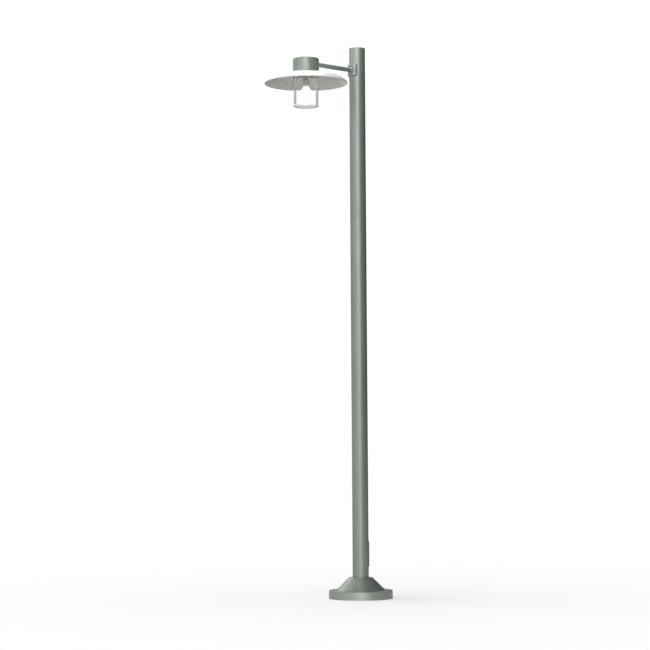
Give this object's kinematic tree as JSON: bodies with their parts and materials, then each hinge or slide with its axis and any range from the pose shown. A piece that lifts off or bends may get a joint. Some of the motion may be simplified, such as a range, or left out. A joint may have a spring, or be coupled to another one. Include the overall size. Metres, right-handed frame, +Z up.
{
  "type": "street lamp post",
  "caption": "Street lamp post: round post on a conical base cover, with a side arm near its top carrying a lantern of cap, white dished shade, clear glass cylinder and lamp.",
  "frame": {"origin": "on the post's axis at ground level, in the underside of the anchor plate", "axes": "+Z up along the post, -Y along the arm to the lantern, +Y out of the service door"},
  "size_m": [0.3088, 0.5236, 2.061],
  "materials": {
    "powder_coat": "satin powder coat, grey green",
    "white_enamel": "satin white outside, light grey inside",
    "galvanised_steel": "hot-dip galvanised",
    "stainless": "stainless fasteners",
    "black_rubber": "EPDM",
    "grey_rubber": "silicone",
    "black_plastic": "moulded",
    "grey_plastic": "moulded",
    "natural_plastic": "moulded",
    "white_ceramic": "glazed steatite",
    "brass": "turned",
    "holder_metal": "aged brass",
    "cable_sheath": "extruded",
    "lead_insulation": "silicone",
    "clear_glass": "clear, fire polished",
    "lamp_glass": "opal",
    "lamp_cap_metal": "nickel plated"
  },
  "bodies": {
    "post": {"post_tube": "powder_coat", "post_top_plug": "powder_coat", "arm_tube": "powder_coat", "arm_weld": "powder_coat", "arm_bracket": "powder_coat", "lamp_cap": "powder_coat", "shade": "white_enamel", "shade_clamp_ring": "white_enamel", "base_plate": "galvanised_steel", "base_weld": "galvanised_steel", "terminal_carrier": "galvanised_steel", "door_lugs": "galvanised_steel", "holder_bridge": "galvanised_steel", "bracket_screws": "stainless", "earth_stud": "stainless", "earth_nuts": "stainless", "shade_screws": "stainless", "bridge_screws": "stainless", "terminal_cover_screws": "stainless", "rivet_nuts": "stainless", "arm_washer": "stainless", "arm_nut": "stainless", "bracket_pad": "black_rubber", "arm_grommet": "black_rubber", "cap_gasket": "black_rubber", "glass_gasket": "grey_rubber", "supply_gland": "black_plastic", "head_gland": "black_plastic", "fuse_base": "black_plastic", "terminal_box": "grey_plastic", "terminal_cover": "grey_plastic", "terminal_block": "natural_plastic", "cap_terminal": "white_ceramic", "terminal_clamps": "brass", "cap_terminal_clamps": "brass", "holder_shell": "brass", "holder_contact": "brass", "holder_body": "holder_metal", "holder_nipple": "holder_metal", "nipple_nuts": "holder_metal", "head_cable": "cable_sheath", "holder_leads": "lead_insulation"},
    "cover": {"base_cover": "powder_coat", "cover_seal": "black_rubber", "cover_set_screws": "stainless"},
    "door": {"door": "powder_coat", "door_gasket": "black_rubber"},
    "door_screw_upper": {"door_screw_upper": "stainless"},
    "door_screw_lower": {"door_screw_lower": "stainless"},
    "fuse_cap": {"fuse_cap": "black_plastic", "fuse_link": "clear_glass"},
    "glass": {"glass": "clear_glass"},
    "bulb": {"bulb_globe": "lamp_glass", "bulb_base": "lamp_cap_metal", "bulb_insulator": "black_plastic", "bulb_tip": "lamp_cap_metal", "bulb_emitter": "white_ceramic"}
  },
  "joints": [
    {"name": "cover_lift", "type": "slide", "parent": "post", "child": "cover", "axis": [0, 0, 1], "range_m": [0, 0.035]},
    {"name": "door_off", "type": "slide", "parent": "post", "child": "door", "axis": [0, 1, 0], "range_m": [0, 0.05]},
    {"name": "door_screw_upper_turn", "type": "hinge", "parent": "door", "child": "door_screw_upper", "pos_m": [0, 0.03, 0.197], "axis": [0, 1, 0], "range_deg": [0, 1080]},
    {"name": "door_screw_lower_turn", "type": "hinge", "parent": "door", "child": "door_screw_lower", "pos_m": [0, 0.03, 0.13], "axis": [0, 1, 0], "range_deg": [0, 1080]},
    {"name": "fuse_cap_turn", "type": "hinge", "parent": "post", "child": "fuse_cap", "pos_m": [0, 0.014, 0.182], "axis": [0, 1, 0], "range_deg": [0, 60]},
    {"name": "glass_drop", "type": "slide", "parent": "post", "child": "glass", "axis": [0, 0, -1], "range_m": [0, 0.12]},
    {"name": "bulb_turn", "type": "hinge", "parent": "post", "child": "bulb", "pos_m": [0, -0.25, 1.903], "axis": [0, 0, -1], "range_deg": [0, 1080]}
  ]
}
